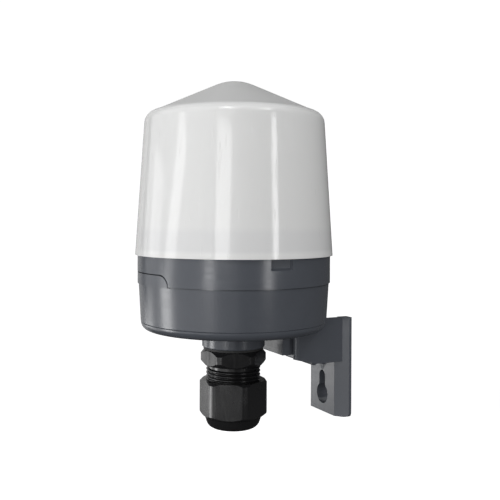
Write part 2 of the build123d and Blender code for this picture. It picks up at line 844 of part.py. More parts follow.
# Smoothing capacitor: rolled can with its crimp and scored top
with BuildPart() as smoothing_capacitor:
    with BuildSketch(level(board_top)):
        with Locations(can_place):
            Circle(can_radius)
    extrude(amount=can_height)
    chamfer(smoothing_capacitor.faces().sort_by(Axis.Z)[-1].edges(), can_edge)
    with BuildSketch(level(board_top + can_crimp_rise)):
        with Locations(can_place):
            Circle(can_radius)
            Circle(can_radius - can_crimp_depth, mode=Mode.SUBTRACT)
    extrude(amount=can_crimp_width, mode=Mode.SUBTRACT)
    with BuildSketch(level(board_top + can_height)):
        with Locations(can_place):
            Rectangle(can_score_width, can_score_length)
            Rectangle(can_score_length, can_score_width)
    extrude(amount=-can_score_depth, mode=Mode.SUBTRACT)

smoothing_capacitor.part.label = "smoothing_capacitor"
export_step(smoothing_capacitor.part, "parts/smoothing_capacitor.step")

# Varistor: a dipped disc standing on two legs
with BuildPart() as varistor:
    with BuildSketch(
        Plane(
            origin=(
                disc_place[0],
                disc_place[1] - wall_reach,
                board_top + disc_lift + disc_radius,
            ),
            x_dir=(0, 1, 0),
            z_dir=(1, 0, 0),
        )
    ):
        Circle(disc_radius)
    extrude(amount=disc_thickness / 2, both=True)
    chamfer(varistor.edges().filter_by(GeomType.CIRCLE), disc_edge)
    with BuildSketch(level(board_top)):
        with Locations(disc_place):
            with GridLocations(1, disc_leg_pitch, 1, 2):
                Circle(disc_leg_radius)
    extrude(amount=disc_lift + disc_radius)

varistor.part.label = "varistor"
export_step(varistor.part, "parts/varistor.step")

# Fuse: small round body that stands on the board
with BuildPart() as fuse:
    with BuildSketch(level(board_top)):
        with Locations(fuse_place):
            Circle(fuse_radius)
    extrude(amount=fuse_height)
    chamfer(fuse.faces().sort_by(Axis.Z)[-1].edges(), fuse_edge)

fuse.part.label = "fuse"
export_step(fuse.part, "parts/fuse.step")

# Rectifier diodes: four small barrels side by side, their leads bent down to the board
diode_lead_pitch = diode_length + 2 * (lead_reach - lead_radius)
with BuildPart() as rectifier_diodes:
    for number in range(diode_count):
        along = diode_place[1] + (number - (diode_count - 1) / 2) * diode_pitch
        barrel = Plane(
            origin=(diode_place[0], along - wall_reach, board_top + diode_radius),
            x_dir=(0, 1, 0),
            z_dir=(1, 0, 0),
        )
        with BuildSketch(barrel):
            Circle(diode_radius)
        extrude(amount=diode_length / 2, both=True)
        with BuildSketch(barrel):
            Circle(lead_radius)
        extrude(amount=diode_length / 2 + lead_reach, both=True)
        with BuildSketch(level(board_top)):
            with Locations((diode_place[0], along)):
                with GridLocations(diode_lead_pitch, 1, 2, 1):
                    Circle(lead_radius)
        extrude(amount=diode_radius)

rectifier_diodes.part.label = "rectifier_diodes"
export_step(rectifier_diodes.part, "parts/rectifier_diodes.step")

# Bleed resistor: a dumb-bell body lying beside the relay
resistor_lead_pitch = resistor_length + 2 * (lead_reach - lead_radius)
with BuildPart() as bleed_resistor:
    resistor_axis = Plane(
        origin=(
            resistor_place[0] - resistor_length / 2,
            resistor_place[1] - wall_reach,
            board_top + resistor_radius,
        ),
        x_dir=(0, 1, 0),
        z_dir=(1, 0, 0),
    )
    for start, run, radius in (
        (0, resistor_length, resistor_waist),
        (0, resistor_cap, resistor_radius),
        (resistor_length - resistor_cap, resistor_cap, resistor_radius),
        (-lead_reach, resistor_length + 2 * lead_reach, lead_radius),
    ):
        with BuildSketch(resistor_axis.offset(start)):
            Circle(radius)
        extrude(amount=run)
    with BuildSketch(level(board_top)):
        with Locations(resistor_place):
            with GridLocations(resistor_lead_pitch, 1, 2, 1):
                Circle(lead_radius)
    extrude(amount=resistor_radius)

bleed_resistor.part.label = "bleed_resistor"
export_step(bleed_resistor.part, "parts/bleed_resistor.step")

# Control chip: flat body with seven legs a side
with BuildPart() as control_chip:
    with BuildSketch(level(board_top)):
        with Locations(chip_place):
            Rectangle(chip_length, chip_width)
    extrude(amount=chip_height)
    chamfer(control_chip.faces().sort_by(Axis.Z)[-1].edges(), chip_edge)
    with BuildSketch(level(board_top)):
        with Locations(chip_place):
            with GridLocations(chip_pitch, 1, chip_legs, 1):
                Rectangle(chip_leg_width, chip_width + 2 * chip_leg_reach)
    extrude(amount=chip_leg_thickness)

control_chip.part.label = "control_chip"
export_step(control_chip.part, "parts/control_chip.step")

# Relay driver: small transistor with one flat side, on three legs
with BuildPart() as relay_driver:
    with BuildSketch(level(board_top + driver_lift)):
        with Locations(driver_place):
            Circle(driver_radius)
        with Locations((driver_place[0], driver_place[1] - driver_flat - driver_radius)):
            Rectangle(4 * driver_radius, 2 * driver_radius, mode=Mode.SUBTRACT)
    extrude(amount=driver_height)
    with BuildSketch(level(board_top)):
        with Locations(driver_place):
            with GridLocations(chip_pitch, 1, driver_legs, 1):
                Rectangle(driver_leg_width, driver_leg_width)
    extrude(amount=driver_lift)

relay_driver.part.label = "relay_driver"
export_step(relay_driver.part, "parts/relay_driver.step")

# Contact blades: carry the board's poles down into the terminal block
with BuildPart() as contact_blades:
    with BuildSketch(level(board_top + blade_tail)):
        with Locations((0, blade_place)):
            with GridLocations(pole_pitch, 1, pole_count, 1):
                Rectangle(blade_width, blade_thickness)
    extrude(amount=-blade_length)
    chamfer(
        contact_blades.faces().group_by(Axis.Z)[0].edges().filter_by(Axis.X),
        blade_edge,
    )

contact_blades.part.label = "contact_blades"
export_step(contact_blades.part, "parts/contact_blades.step")

# Terminal block: one moulding with a chamber and a blade socket for each pole
clamp_bottom = block_bottom + clamp_lift
block_face = Plane(
    origin=(0, block_front - wall_reach, clamp_bottom), x_dir=(1, 0, 0), z_dir=(0, -1, 0)
)
clamp_middle = block_front + clamp_inset + clamp_length / 2
block_length = pole_count * pole_pitch
with BuildPart() as terminal_block:
    with BuildSketch(level(block_bottom)):
        with Locations((0, block_middle)):
            Rectangle(block_length, block_depth)
    extrude(amount=block_height)
    with BuildSketch(level(block_bottom)):
        with Locations((0, block_middle)):
            SlotOverall(block_length + 2 * block_ear, block_ear)
    extrude(amount=block_ear_thickness)
    # wire entries and clamp chambers, open to the front
    with BuildSketch(block_face):
        with GridLocations(pole_pitch, 1, pole_count, 1):
            Rectangle(
                clamp_width + fit_gap,
                clamp_height + fit_gap,
                align=(Align.CENTER, Align.MIN),
            )
    extrude(amount=-(clamp_inset + clamp_length + fit_gap), mode=Mode.SUBTRACT)
    # screwdriver wells over the clamps
    with BuildSketch(level(clamp_bottom + clamp_height)):
        with Locations((0, clamp_middle)):
            with GridLocations(pole_pitch, 1, pole_count, 1):
                Circle(terminal_screw_head_radius + fit_gap / 2)
    extrude(amount=block_height, mode=Mode.SUBTRACT)
    # blade sockets
    with BuildSketch(level(block_top)):
        with Locations((0, blade_place)):
            with GridLocations(pole_pitch, 1, pole_count, 1):
                Rectangle(socket_width + fit_gap, socket_thickness + fit_gap)
    extrude(amount=-socket_depth, mode=Mode.SUBTRACT)
    # dividing grooves between the poles
    with BuildSketch(level(block_top)):
        with Locations((0, block_middle)):
            with GridLocations(pole_pitch, 1, pole_count - 1, 1):
                Rectangle(block_groove, block_depth)
    extrude(amount=-block_groove, mode=Mode.SUBTRACT)
    # screw holes in the ears
    with BuildSketch(level(block_bottom)):
        with Locations((0, block_middle)):
            with GridLocations(2 * ear_place, 1, 2, 1):
                Circle(small_screw_radius + fit_gap)
    extrude(amount=block_ear_thickness, mode=Mode.SUBTRACT)

terminal_block.part.label = "terminal_block"
export_step(terminal_block.part, "parts/terminal_block.step")

# Terminal clamps: square metal cages with a threaded roof
with BuildPart() as terminal_clamps:
    with BuildSketch(block_face.offset(-clamp_inset)):
        with GridLocations(pole_pitch, 1, pole_count, 1):
            Rectangle(clamp_width, clamp_height, align=(Align.CENTER, Align.MIN))
        with Locations((0, clamp_wall)):
            with GridLocations(pole_pitch, 1, pole_count, 1):
                Rectangle(
                    clamp_width - 2 * clamp_wall,
                    clamp_height - 2 * clamp_wall,
                    align=(Align.CENTER, Align.MIN),
                    mode=Mode.SUBTRACT,
                )
    extrude(amount=-clamp_length)
    with BuildSketch(level(clamp_bottom + clamp_height)):
        with Locations((0, clamp_middle)):
            with GridLocations(pole_pitch, 1, pole_count, 1):
                Circle(terminal_screw_radius)
    extrude(amount=-2 * clamp_wall, mode=Mode.SUBTRACT)

terminal_clamps.part.label = "terminal_clamps"
export_step(terminal_clamps.part, "parts/terminal_clamps.step")

# Terminal screws: cheese heads, backed out of the clamps as delivered
with BuildPart() as terminal_screws:
    with BuildSketch(level(clamp_bottom + clamp_height)):
        with Locations((0, clamp_middle)):
            with GridLocations(pole_pitch, 1, pole_count, 1):
                Circle(terminal_screw_head_radius)
    extrude(amount=terminal_screw_head)
    with BuildSketch(level(clamp_bottom + clamp_height + terminal_screw_head)):
        with Locations((0, clamp_middle)):
            with GridLocations(pole_pitch, 1, pole_count, 1):
                Rectangle(terminal_slot_width, 2 * terminal_screw_head_radius)
    extrude(amount=-terminal_slot_depth, mode=Mode.SUBTRACT)
    with BuildSketch(level(clamp_bottom + clamp_height)):
        with Locations((0, clamp_middle)):
            with GridLocations(pole_pitch, 1, pole_count, 1):
                Circle(terminal_screw_radius - thread_gap)
    extrude(amount=-2 * clamp_wall)

terminal_screws.part.label = "terminal_screws"
export_step(terminal_screws.part, "parts/terminal_screws.step")

# Blade sockets: folded metal sleeves in the terminal block
with BuildPart() as contact_sockets:
    with BuildSketch(level(block_top)):
        with Locations((0, blade_place)):
            with GridLocations(pole_pitch, 1, pole_count, 1):
                Rectangle(socket_width, socket_thickness)
                Rectangle(
                    blade_width + fit_gap, blade_thickness + fit_gap, mode=Mode.SUBTRACT
                )
    extrude(amount=-socket_depth)

contact_sockets.part.label = "contact_sockets"
export_step(contact_sockets.part, "parts/contact_sockets.step")

# Block screws: hold the terminal block on its bosses
with BuildPart() as block_screws:
    with BuildSketch(level(block_bottom + block_ear_thickness)):
        with Locations((0, block_middle)):
            with GridLocations(2 * ear_place, 1, 2, 1):
                Circle(small_screw_head_radius)
    extrude(amount=small_screw_head)
    chamfer(block_screws.edges().group_by(Axis.Z)[-1], small_screw_edge)
    with BuildSketch(level(block_bottom + block_ear_thickness)):
        with Locations((0, block_middle)):
            with GridLocations(2 * ear_place, 1, 2, 1):
                Circle(pilot_radius - thread_gap)
    extrude(amount=-small_screw_length)

block_screws.part.label = "block_screws"
export_step(block_screws.part, "parts/block_screws.step")

# Gland washer: flat seal between the collar and the gland's hexagon
with BuildPart() as gland_washer:
    with BuildSketch(level(gland_hex_top)):
        Circle(washer_radius)
        Circle(thread_radius + fit_gap, mode=Mode.SUBTRACT)
    extrude(amount=washer_thickness)

gland_washer.part.label = "gland_washer"
export_step(gland_washer.part, "parts/gland_washer.step")

# Gland body: entry thread, hexagon, cap thread and clamping fingers in one moulding
cap_thread_bottom = gland_hex_bottom - cap_thread_length
finger_bottom = cap_thread_bottom - finger_length
finger_outside = gland_bore + finger_wall
with BuildPart() as gland_body:
    with BuildSketch(level(gland_hex_bottom)):
        RegularPolygon(gland_flats / 2, 6, major_radius=False, rotation=gland_hex_turn)
        Circle(gland_corner_radius, mode=Mode.INTERSECT)
    extrude(amount=gland_hex_height)
    # corners turned off above and below
    with BuildSketch(body_section):
        for face, inward in ((gland_hex_top, -1), (gland_hex_bottom, 1)):
            with BuildLine():
                Polyline(
                    (gland_hex_face_radius, face),
                    (gland_corner_radius, face + inward * gland_hex_chamfer),
                    (gland_corner_radius + loose_gap, face),
                    close=True,
                )
            make_face()
    revolve(axis=body_axis, mode=Mode.SUBTRACT)
    with BuildSketch(level(gland_hex_top)):
        Circle(thread_radius - thread_gap)
    extrude(amount=washer_thickness + collar_length)
    with BuildSketch(level(gland_hex_bottom)):
        Circle(cap_thread_radius)
    extrude(amount=-cap_thread_length)
    with BuildSketch(level(cap_thread_bottom)):
        Circle(finger_outside)
    extrude(amount=-finger_length, taper=finger_taper)
    with BuildSketch(level(finger_bottom)):
        Circle(gland_bore)
    extrude(amount=bowl_bottom - finger_bottom, mode=Mode.SUBTRACT)
    with BuildSketch(level(finger_bottom)):
        with PolarLocations(finger_outside, finger_count):
            Rectangle(2 * finger_wall + finger_slot, finger_slot)
    extrude(amount=finger_length, mode=Mode.SUBTRACT)

gland_body.part.label = "gland_body"
export_step(gland_body.part, "parts/gland_body.step")

# Grommet: rubber sleeve that the fingers press onto the cable
with BuildPart() as gland_grommet:
    with BuildSketch(level(finger_bottom)):
        Circle(gland_bore - thread_gap)
        Circle(grommet_bore, mode=Mode.SUBTRACT)
    extrude(amount=grommet_length)

gland_grommet.part.label = "gland_grommet"
export_step(gland_grommet.part, "parts/gland_grommet.step")

# Gland nut: hexagon above, round nose below, backed off to show some thread
nut_bottom = nut_hex_bottom - nut_nose
nut_bore = cap_thread_radius + fit_gap / 2
with BuildPart() as gland_nut:
    with BuildSketch(level(nut_hex_bottom)):
        RegularPolygon(nut_flats / 2, 6, major_radius=False, rotation=nut_turn)
        Circle(nut_corner_radius, mode=Mode.INTERSECT)
    extrude(amount=nut_hex_height)
    # corners turned off above and below
    with BuildSketch(body_section):
        for radius, face, depth in (
            (nut_top_face_radius, nut_top, -nut_top_chamfer),
            (nut_nose_radius, nut_hex_bottom, nut_foot_chamfer),
        ):
            with BuildLine():
                Polyline(
                    (radius, face),
                    (nut_corner_radius, face + depth),
                    (nut_corner_radius + loose_gap, face),
                    close=True,
                )
            make_face()
    revolve(axis=body_axis, mode=Mode.SUBTRACT)
    # nose below the hexagon
    with BuildSketch(body_section):
        with BuildLine():
            nose_start = (nut_nose_radius, nut_hex_bottom)
            nose_side = Line(nose_start, (nut_nose_waist, nut_bottom + nut_nose_round_rise))
            nose_round = TangentArc(
                nose_side @ 1, (nut_nose_waist - nut_nose_round_reach, nut_bottom), tangent=nose_side % 1
            )
            Polyline(nose_round @ 1, (0, nut_bottom), (0, nut_hex_bottom), nose_start)
        make_face()
    revolve(axis=body_axis)
    # thread bore, closing onto the fingers
    with BuildSketch(body_section):
        with BuildLine():
            Polyline(
                (0, nut_top),
                (nut_bore + nut_lead_in, nut_top),
                (nut_bore, nut_top - nut_lead_in),
                (nut_bore, nut_bottom + 2 * nut_lip),
                (nut_mouth_radius, nut_bottom + nut_lip),
                (nut_mouth_radius, nut_bottom),
                (0, nut_bottom),
                close=True,
            )
        make_face()
    revolve(axis=body_axis, mode=Mode.SUBTRACT)

gland_nut.part.label = "gland_nut"
export_step(gland_nut.part, "parts/gland_nut.step")
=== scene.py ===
from math import cos, pi, radians, sin

import bpy
import numpy as np
from mathutils import Matrix, Vector


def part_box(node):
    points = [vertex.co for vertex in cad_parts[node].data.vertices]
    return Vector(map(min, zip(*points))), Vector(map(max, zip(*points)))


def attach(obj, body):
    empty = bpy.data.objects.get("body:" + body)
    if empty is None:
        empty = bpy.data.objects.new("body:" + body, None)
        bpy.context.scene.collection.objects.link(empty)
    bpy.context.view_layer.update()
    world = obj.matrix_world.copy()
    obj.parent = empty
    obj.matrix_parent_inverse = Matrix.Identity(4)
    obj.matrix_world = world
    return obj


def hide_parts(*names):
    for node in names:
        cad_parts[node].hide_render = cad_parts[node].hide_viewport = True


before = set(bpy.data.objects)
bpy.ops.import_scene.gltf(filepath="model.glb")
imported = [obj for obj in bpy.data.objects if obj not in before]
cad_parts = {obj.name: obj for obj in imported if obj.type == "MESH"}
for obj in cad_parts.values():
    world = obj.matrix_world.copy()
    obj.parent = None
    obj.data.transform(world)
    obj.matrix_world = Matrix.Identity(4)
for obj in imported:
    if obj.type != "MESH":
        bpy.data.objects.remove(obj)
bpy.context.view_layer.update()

dome_low, dome_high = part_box("dome_cover")
base_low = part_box("wall_base")[0]
axis_y = (dome_low[1] + dome_high[1]) / 2
camera_turn = radians(64.5)
camera_distance = 0.303
camera_height = 0.0627
camera_roll = radians(0.28)
camera_data = bpy.data.cameras.new("camera")
camera_data.lens = 53.42
camera_data.sensor_width = 36.0
camera_data.shift_x = 0.032
camera_data.shift_y = -0.066
camera = bpy.data.objects.new("camera", camera_data)
bpy.context.scene.collection.objects.link(camera)
camera.matrix_world = (
    Matrix.Translation(
        (
            camera_distance * sin(camera_turn),
            axis_y - camera_distance * cos(camera_turn),
            camera_height,
        )
    )
    @ Matrix.Rotation(camera_turn, 4, "Z")
    @ Matrix.Rotation(pi / 2, 4, "X")
    @ Matrix.Rotation(camera_roll, 4, "Z")
)
bpy.context.scene.camera = camera
bpy.context.scene.view_settings.view_transform = "Standard"


# Studio: a pale paper sweep well below and behind the switch, and the air around it. Both show
# white to the camera and in reflections, and throw little light back, as in a dim room.
def linear(code):
    """An sRGB hex colour as linear values: c/12.92, or ((c+0.055)/1.055)^2.4 above 0.04045."""
    parts = np.array([int(code[i : i + 2], 16) for i in (1, 3, 5)]) / 255
    return (*np.where(parts <= 0.04045, parts / 12.92, ((parts + 0.055) / 1.055) ** 2.4), 1.0)


def add_node(tree, kind, values=None, links=None, **settings):
    """Adds one node: settings are its own options, values its sockets, links what feeds them."""
    node = tree.nodes.new(kind)
    for name, value in settings.items():
        setattr(node, name, value)
    for name, value in (values or {}).items():
        node.inputs[name].default_value = value
    for name, source in (links or {}).items():
        tree.links.new(source, node.inputs[name])
    return node


def new_material(name):
    """A material with an empty node tree, its tree and its output node."""
    material = bpy.data.materials.new(name)
    material.use_nodes = True
    tree = material.node_tree
    tree.nodes.clear()
    return material, tree, tree.nodes.new("ShaderNodeOutputMaterial")


def shown_rays(tree):
    """A node that is 1 for rays from the camera, off gloss and through glass, else 0."""
    paths = add_node(tree, "ShaderNodeLightPath")
    seen = paths.outputs["Is Camera Ray"]
    for ray in ("Is Glossy Ray", "Is Transmission Ray"):
        node = add_node(
            tree, "ShaderNodeMath", links={0: seen, 1: paths.outputs[ray]}, operation="MAXIMUM"
        )
        seen = node.outputs[0]
    return node


def mesh_piece(name, points, faces):
    """A smooth-shaded mesh object at the origin from arrays of points in metres and of faces."""
    mesh = bpy.data.meshes.new(name)
    mesh.from_pydata(points.tolist(), [], [list(face) for face in faces])
    mesh.polygons.foreach_set("use_smooth", np.full(len(mesh.polygons), True))
    mesh.update()
    piece = bpy.data.objects.new(name, mesh)
    bpy.context.scene.collection.objects.link(piece)
    return piece


def grid_faces(rows, columns, ring=False):
    """Quads of a grid of points numbered row by row; in a ring the last column joins the first."""
    last = columns if ring else columns - 1
    i, j = np.meshgrid(np.arange(rows - 1), np.arange(last), indexing="ij")
    k = (j + 1) % columns
    quads = [i * columns + j, i * columns + k, (i + 1) * columns + k, (i + 1) * columns + j]
    return np.stack(quads, axis=-1).reshape(-1, 4)


floor_height = -0.32
sweep_radius, sweep_reach, sweep_front, sweep_top, sweep_side = 0.6, 1.2, -3.0, 3.1, 2.5
bend_steps = 25
bend = np.linspace(0, pi / 2, bend_steps)
# The sweep's outline from front to back: the floor, a quarter circle of sweep_radius, the wall.
depth = np.concatenate(
    [[sweep_front], sweep_reach + sweep_radius * np.sin(bend), [sweep_reach + sweep_radius]]
)
height = np.concatenate([[0.0], sweep_radius * (1 - np.cos(bend)), [sweep_top]]) + floor_height
away = np.array([-sin(camera_turn), cos(camera_turn)])
across = np.array([cos(camera_turn), sin(camera_turn)])
side, reach = np.meshgrid([-sweep_side, sweep_side], depth, indexing="ij")
level_places = reach[..., None] * away + side[..., None] * across
sweep_points = np.dstack([level_places, np.broadcast_to(height, side.shape)]).reshape(-1, 3)
sweep = mesh_piece("studio_sweep", sweep_points, grid_faces(2, len(depth)))
paper_material, tree, output = new_material("matt_studio_paper")
seen = shown_rays(tree)
paper = add_node(tree, "ShaderNodeBsdfDiffuse", {"Color": linear("#f0f0f0")})
dim_paper = add_node(tree, "ShaderNodeBsdfDiffuse", {"Color": linear("#6c6c6c")})
glow = add_node(tree, "ShaderNodeEmission", {"Color": linear("#ffffff"), "Strength": 0.82})
lit_paper = add_node(tree, "ShaderNodeAddShader", links={0: paper.outputs[0], 1: glow.outputs[0]})
shown_paper = add_node(
    tree,
    "ShaderNodeMixShader",
    links={0: seen.outputs[0], 1: dim_paper.outputs[0], 2: lit_paper.outputs[0]},
)
tree.links.new(shown_paper.outputs[0], output.inputs["Surface"])
sweep.data.materials.append(paper_material)

world = bpy.data.worlds.new("studio_air")
world.use_nodes = True
air = world.node_tree.nodes["Background"]
air.inputs["Color"].default_value = linear("#fcfdff")
air_level = add_node(
    world.node_tree,
    "ShaderNodeMapRange",
    {"To Min": 0.26, "To Max": 1.0},
    {"Value": shown_rays(world.node_tree).outputs[0]},
)
world.node_tree.links.new(air_level.outputs["Result"], air.inputs["Strength"])
bpy.context.scene.world = world

# Curtains: charcoal and black cloth that hangs in a part circle in front and at the right, grey
# and black cloth at the left back, and black cloth on the floor below. They show in reflections
# only, and so keep gloss off the shaded side.
curtain_foot, curtain_reach, curtain_top, cloth_reach = 0.3, 1.0, 1.2, 0.72
cloth_gap, cloth_steps = 0.001, 60
# Each cloth: the turns from the camera's side at which it starts and ends, and its brightness.
for name, first_turn, last_turn, brightness in (
    ("charcoal_curtain", -22, 6, 0.4),
    ("black_curtain", 6, 180, 0.07),
    ("grey_curtain", -180, -134, 0.5),
    ("black_drape", -134, -124.5, 0.05),
    ("floor_cloth", -180, 180, 0.03),
):
    curtain_turns = np.radians(np.linspace(first_turn, last_turn, cloth_steps)) + camera_turn
    reaches = np.array([curtain_foot, curtain_reach, curtain_reach])
    heights = np.array([floor_height, floor_height, curtain_top]) + cloth_gap
    if name == "floor_cloth":
        reaches, heights = np.array([0.0, cloth_reach]), heights[:2] + cloth_gap
    curtain_points = np.stack(
        [
            reaches[:, None] * np.sin(curtain_turns),
            axis_y - reaches[:, None] * np.cos(curtain_turns),
            np.repeat(heights[:, None], len(curtain_turns), axis=1),
        ],
        axis=-1,
    ).reshape(-1, 3)
    curtain = mesh_piece(name, curtain_points, grid_faces(len(reaches), len(curtain_turns)))
    cloth_material, tree, output = new_material(name + "_cloth")
    cloth = add_node(
        tree, "ShaderNodeEmission", {"Color": linear("#ffffff"), "Strength": brightness}
    )
    tree.links.new(cloth.outputs[0], output.inputs["Surface"])
    curtain.data.materials.append(cloth_material)
    curtain.visible_camera = False
    curtain.visible_diffuse = False
    curtain.visible_transmission = False
    curtain.visible_shadow = False

# Lamps: soft panes and leaning strips at the left and panes in front, whose reflections are the
# streaks down the dome, the ring and the gland, and two small ones above for the dome's shoulder.
# The fills stand behind polarising sheets: they light the colours and show in no reflection.
body_middle = Vector((0, axis_y, (dome_low[2] + base_low[2]) / 2))
# Each lamp: its turn from the camera's side and its lift in degrees as seen from the body's
# middle, how far off it stands, its width and height, how much it leans, and its power.
for name, turn, lift, distance, width, tall, tilt, watts in (
    ("soft_left", -101, 7, 0.9, 0.3, 0.2, 4, 0.24),
    ("soft_left_low", -124, -12.5, 0.9, 0.36, 0.12, 0, 0.29),
    ("strip_left", -72, 8, 0.7, 0.13, 0.39, 38, 0.44),
    ("strip_left_low", -85, -14, 0.7, 0.19, 0.24, 0, 0.95),
    ("pane_near", -12, 12, 0.7, 0.2, 0.22, 5, 0.52),
    ("pane_near_low", -27, -2, 0.7, 0.13, 0.09, 20, 0.26),
    ("pane_right", 47, 12, 0.7, 0.08, 0.22, 6, 0.33),
    ("pane_right_low", 39, -2, 0.7, 0.11, 0.09, 20, 0.24),
    ("above_near", -11, 53, 0.8, 0.15, 0.14, 0, 0.8),
    ("above_right", 45, 47, 0.8, 0.11, 0.13, 0, 0.6),
    ("fill_front", 8, 20, 1.0, 0.6, 0.6, 0, 2.15),
    ("fill_left", -72, 16, 0.9, 0.4, 0.4, 0, 1.45),
    ("fill_back", 118, 15, 1.0, 0.6, 0.6, 0, 2.2),
    ("fill_behind", 170, 20, 1.0, 0.6, 0.6, 0, 3.2),
    ("fill_low_left", -90, -4, 0.7, 0.3, 0.3, 0, 0.35),
    ("fill_low_front", -28, -5, 0.7, 0.2, 0.2, 0, 0.5),
):
    azimuth, elevation = camera_turn + radians(turn), radians(lift)
    outward = Vector(
        (sin(azimuth) * cos(elevation), -cos(azimuth) * cos(elevation), sin(elevation))
    )
    lamp_data = bpy.data.lights.new(name, "AREA")
    lamp_data.shape = "RECTANGLE"
    lamp_data.size, lamp_data.size_y, lamp_data.energy = width, tall, watts
    lamp = bpy.data.objects.new(name, lamp_data)
    lamp.matrix_world = (
        Matrix.Translation(body_middle + outward * distance)
        @ outward.to_track_quat("Z", "Y").to_matrix().to_4x4()
        @ Matrix.Rotation(radians(-tilt), 4, "Z")
    )
    lamp.visible_glossy = not name.startswith("fill")
    bpy.context.scene.collection.objects.link(lamp)


# Base: one moulding in dark grey polycarbonate, with the bowl, the gland's collar, the front tab,
# the two-winged arm and the keyhole plate. The mould's face is satin, with a fine spark grain.

# A turned triangle's corners lie within line_slack of a straight outline and outside axis_gap, it
# spans less than widest_swing of the turn, and it leans less than widest_lean off that outline.
# A sliver and nothing are a doubled area and a length too small to count.
line_slack, axis_gap = 2e-5, 1e-4
widest_swing, widest_lean, sharp_edge = radians(24), radians(9), radians(32)
sliver, nothing = 1e-13, 1e-9


def side_products(points, triangles):
    """The cross product of two sides of each triangle: along its normal, twice its area long."""
    corners = points[triangles]
    return np.cross(corners[:, 1] - corners[:, 0], corners[:, 2] - corners[:, 0])


def true_normals(points, triangles):
    """Corner normals of a solid's triangles. In a triangle of a surface turned about the body's
    axis, the three corners lie on one straight line of radius against height, and each corner's
    normal is square to that line at the corner's own bearing. Other triangles keep their flat
    normal. Each corner takes the area-weighted mean of those there that lean less than
    sharp_edge."""
    corners = points[triangles]
    products = side_products(points, triangles)
    area = np.linalg.norm(products, axis=1)
    flat = products / area[:, None]
    arm = corners[:, :, :2] - (0, axis_y)
    reach = np.linalg.norm(arm, axis=2)
    bearing = arm / np.maximum(reach, nothing)[:, :, None]
    middle = arm.mean(axis=1)
    middle = middle / np.maximum(np.linalg.norm(middle, axis=1), nothing)[:, None]
    swing = np.arctan2(
        middle[:, None, 0] * bearing[:, :, 1] - middle[:, None, 1] * bearing[:, :, 0],
        (middle[:, None] * bearing).sum(axis=2),
    )
    profile = np.stack([reach, corners[:, :, 2]], axis=-1)
    edges = np.roll(profile, -1, axis=1) - profile
    longest = np.linalg.norm(edges, axis=2).argmax(axis=1)
    rows = np.arange(len(triangles))
    run = edges[rows, longest]
    run = run / np.maximum(np.linalg.norm(run, axis=1), nothing)[:, None]
    third = profile[rows, (longest + 2) % 3] - profile[rows, longest]
    off_line = np.abs(run[:, 0] * third[:, 1] - run[:, 1] * third[:, 0])
    square = np.stack([run[:, 1], -run[:, 0]], axis=1)
    lean = np.stack([(flat[:, :2] * middle).sum(axis=1), flat[:, 2]], axis=1)
    agree = (square * lean).sum(axis=1)
    turned = (
        (off_line < line_slack)
        & (np.ptp(swing, axis=1) < widest_swing)
        & (np.abs(agree) > cos(widest_lean))
        & (reach.min(axis=1) > axis_gap)
    )
    square = square * np.sign(agree)[:, None]
    round_normal = np.concatenate(
        [bearing * square[:, None, :1], np.repeat(square[:, None, 1:], 3, axis=1)], axis=2
    )
    own = np.where(turned[:, None, None], round_normal, flat[:, None, :]).reshape(-1, 3)
    weight = np.repeat(area, 3)
    # Every pair of corners that meet at one point, as the lists first and second.
    vertex = triangles.reshape(-1)
    order = np.argsort(vertex, kind="stable")
    counts = np.bincount(vertex, minlength=len(points))
    starts = np.cumsum(counts) - counts
    group = counts[vertex[order]]
    first = np.repeat(order, group)
    offset = np.arange(len(first)) - np.repeat(np.cumsum(group) - group, group)
    second = order[starts[vertex[first]] + offset]
    close = (own[first] * own[second]).sum(axis=1) > cos(sharp_edge)
    total = np.zeros_like(own)
    np.add.at(total, first[close], own[second[close]] * weight[second[close]][:, None])
    return total / np.linalg.norm(total, axis=1)[:, None]


def true_copy(node_name, name):
    """A solid's triangles joined at shared corners, with normals that follow its true form."""
    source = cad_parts[node_name].data
    places = np.empty(len(source.vertices) * 3)
    source.vertices.foreach_get("co", places)
    source.calc_loop_triangles()
    triangles = np.empty(len(source.loop_triangles) * 3, dtype=np.int64)
    source.loop_triangles.foreach_get("vertices", triangles)
    points, place = np.unique(np.round(places.reshape(-1, 3), 7), axis=0, return_inverse=True)
    triangles = place.reshape(-1)[triangles].reshape(-1, 3)
    triangles = triangles[np.linalg.norm(side_products(points, triangles), axis=1) > sliver]
    piece = mesh_piece(name, points, triangles)
    piece.data.normals_split_custom_set(true_normals(points, triangles).tolist())
    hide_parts(node_name)
    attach(piece, "root")
    return piece


# Glass-clear pellets with grey pigment leave faint flow lines round the bowl where the mould
# filled, 0.7 mm apart and 22 mm long, and the pigment drifts over some 11 mm. The spark-eroded
# mould leaves a grain of 0.4 mm, which blurs reflections a little. A noise's scale is 1000 divided
# by such a size in millimetres.
housing_material, tree, output = new_material("moulded_grey_polycarbonate")
where = add_node(tree, "ShaderNodeTexCoord")
spark_grain = add_node(
    tree,
    "ShaderNodeTexNoise",
    {"Scale": 2500.0, "Detail": 3.0},
    {"Vector": where.outputs["Object"]},
)
flow = add_node(
    tree, "ShaderNodeMapping", {"Scale": (45.0, 45.0, 1500.0)}, {"Vector": where.outputs["Object"]}
)
flow_lines = add_node(
    tree, "ShaderNodeTexNoise", {"Scale": 1.0, "Detail": 3.0}, {"Vector": flow.outputs[0]}
)
grain_bump = add_node(
    tree,
    "ShaderNodeBump",
    {"Strength": 0.3, "Distance": 0.00002},
    {"Height": spark_grain.outputs["Fac"]},
)
flow_bump = add_node(
    tree,
    "ShaderNodeBump",
    {"Strength": 0.06, "Distance": 0.00003},
    {"Height": flow_lines.outputs["Fac"], "Normal": grain_bump.outputs[0]},
)
